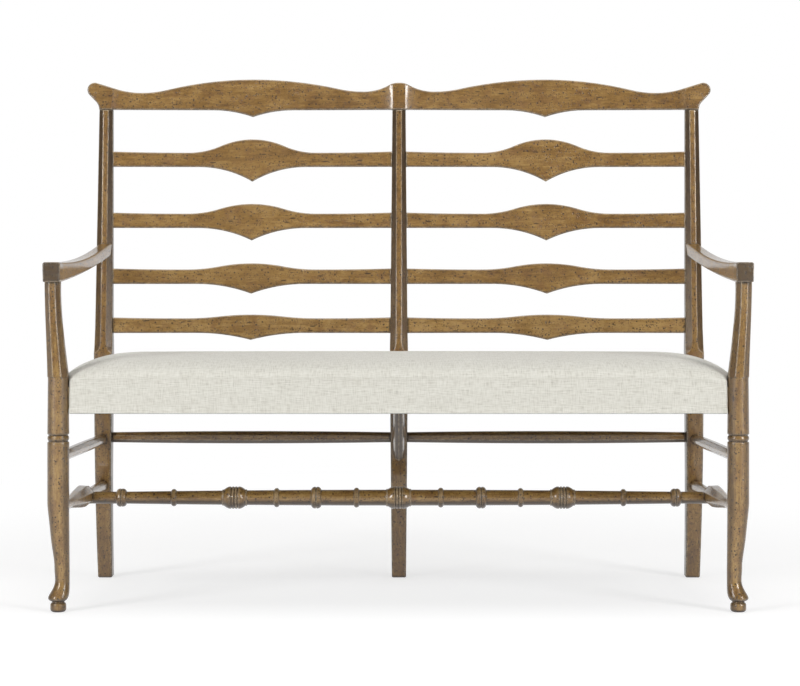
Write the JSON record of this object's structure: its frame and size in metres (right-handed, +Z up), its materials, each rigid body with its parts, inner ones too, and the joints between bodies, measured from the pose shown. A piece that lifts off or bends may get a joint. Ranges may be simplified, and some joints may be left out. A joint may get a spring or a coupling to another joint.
{
  "type": "ladder back bench",
  "caption": "Antiqued wood ladder back bench with open arms, shaped crest and slats, turned stretchers and a tight linen seat.",
  "frame": {"origin": "on the floor, under the middle of the bench's bounding box", "axes": "+X to the sitter's left along the bench's length, +Y to the back, +Z up"},
  "size_m": [1.3678, 0.5965, 1.0673],
  "materials": {
    "show_wood": "antiqued walnut stain under satin lacquer",
    "frame_wood": "bare planed hardwood",
    "screw_steel": "zinc plated steel",
    "webbing": "woven jute",
    "foam": "upholstery foam",
    "seat_linen": "off-white slub linen weave",
    "dust_cloth": "thin black lining cloth"
  },
  "bodies": {
    "root": {"front_post_left": "show_wood", "front_post_right": "show_wood", "rear_post_left": "show_wood", "rear_post_centre": "show_wood", "rear_post_right": "show_wood", "crest_rail": "show_wood", "slat_one_left": "show_wood", "slat_one_right": "show_wood", "slat_two_left": "show_wood", "slat_two_right": "show_wood", "slat_three_left": "show_wood", "slat_three_right": "show_wood", "slat_four_left": "show_wood", "slat_four_right": "show_wood", "arm_left": "show_wood", "side_stretcher_upper_left": "show_wood", "side_stretcher_lower_left": "show_wood", "rear_stretcher_left": "show_wood", "arm_right": "show_wood", "side_stretcher_upper_right": "show_wood", "side_stretcher_lower_right": "show_wood", "rear_stretcher_right": "show_wood", "medial_stretcher": "show_wood", "centre_brace": "show_wood", "seat_rail_front": "frame_wood", "seat_rail_centre": "frame_wood", "seat_rail_side_left": "frame_wood", "seat_rail_rear_left": "frame_wood", "seat_rail_side_right": "frame_wood", "seat_rail_rear_right": "frame_wood", "corner_block_front_left": "frame_wood", "corner_block_front_right": "frame_wood", "corner_block_rear_right": "frame_wood", "corner_block_rear_left": "frame_wood", "corner_block_screws": "screw_steel", "seat_webbing": "webbing", "foam_pad": "foam", "seat_cover": "seat_linen", "dust_cover": "dust_cloth"}
  },
  "joints": []
}
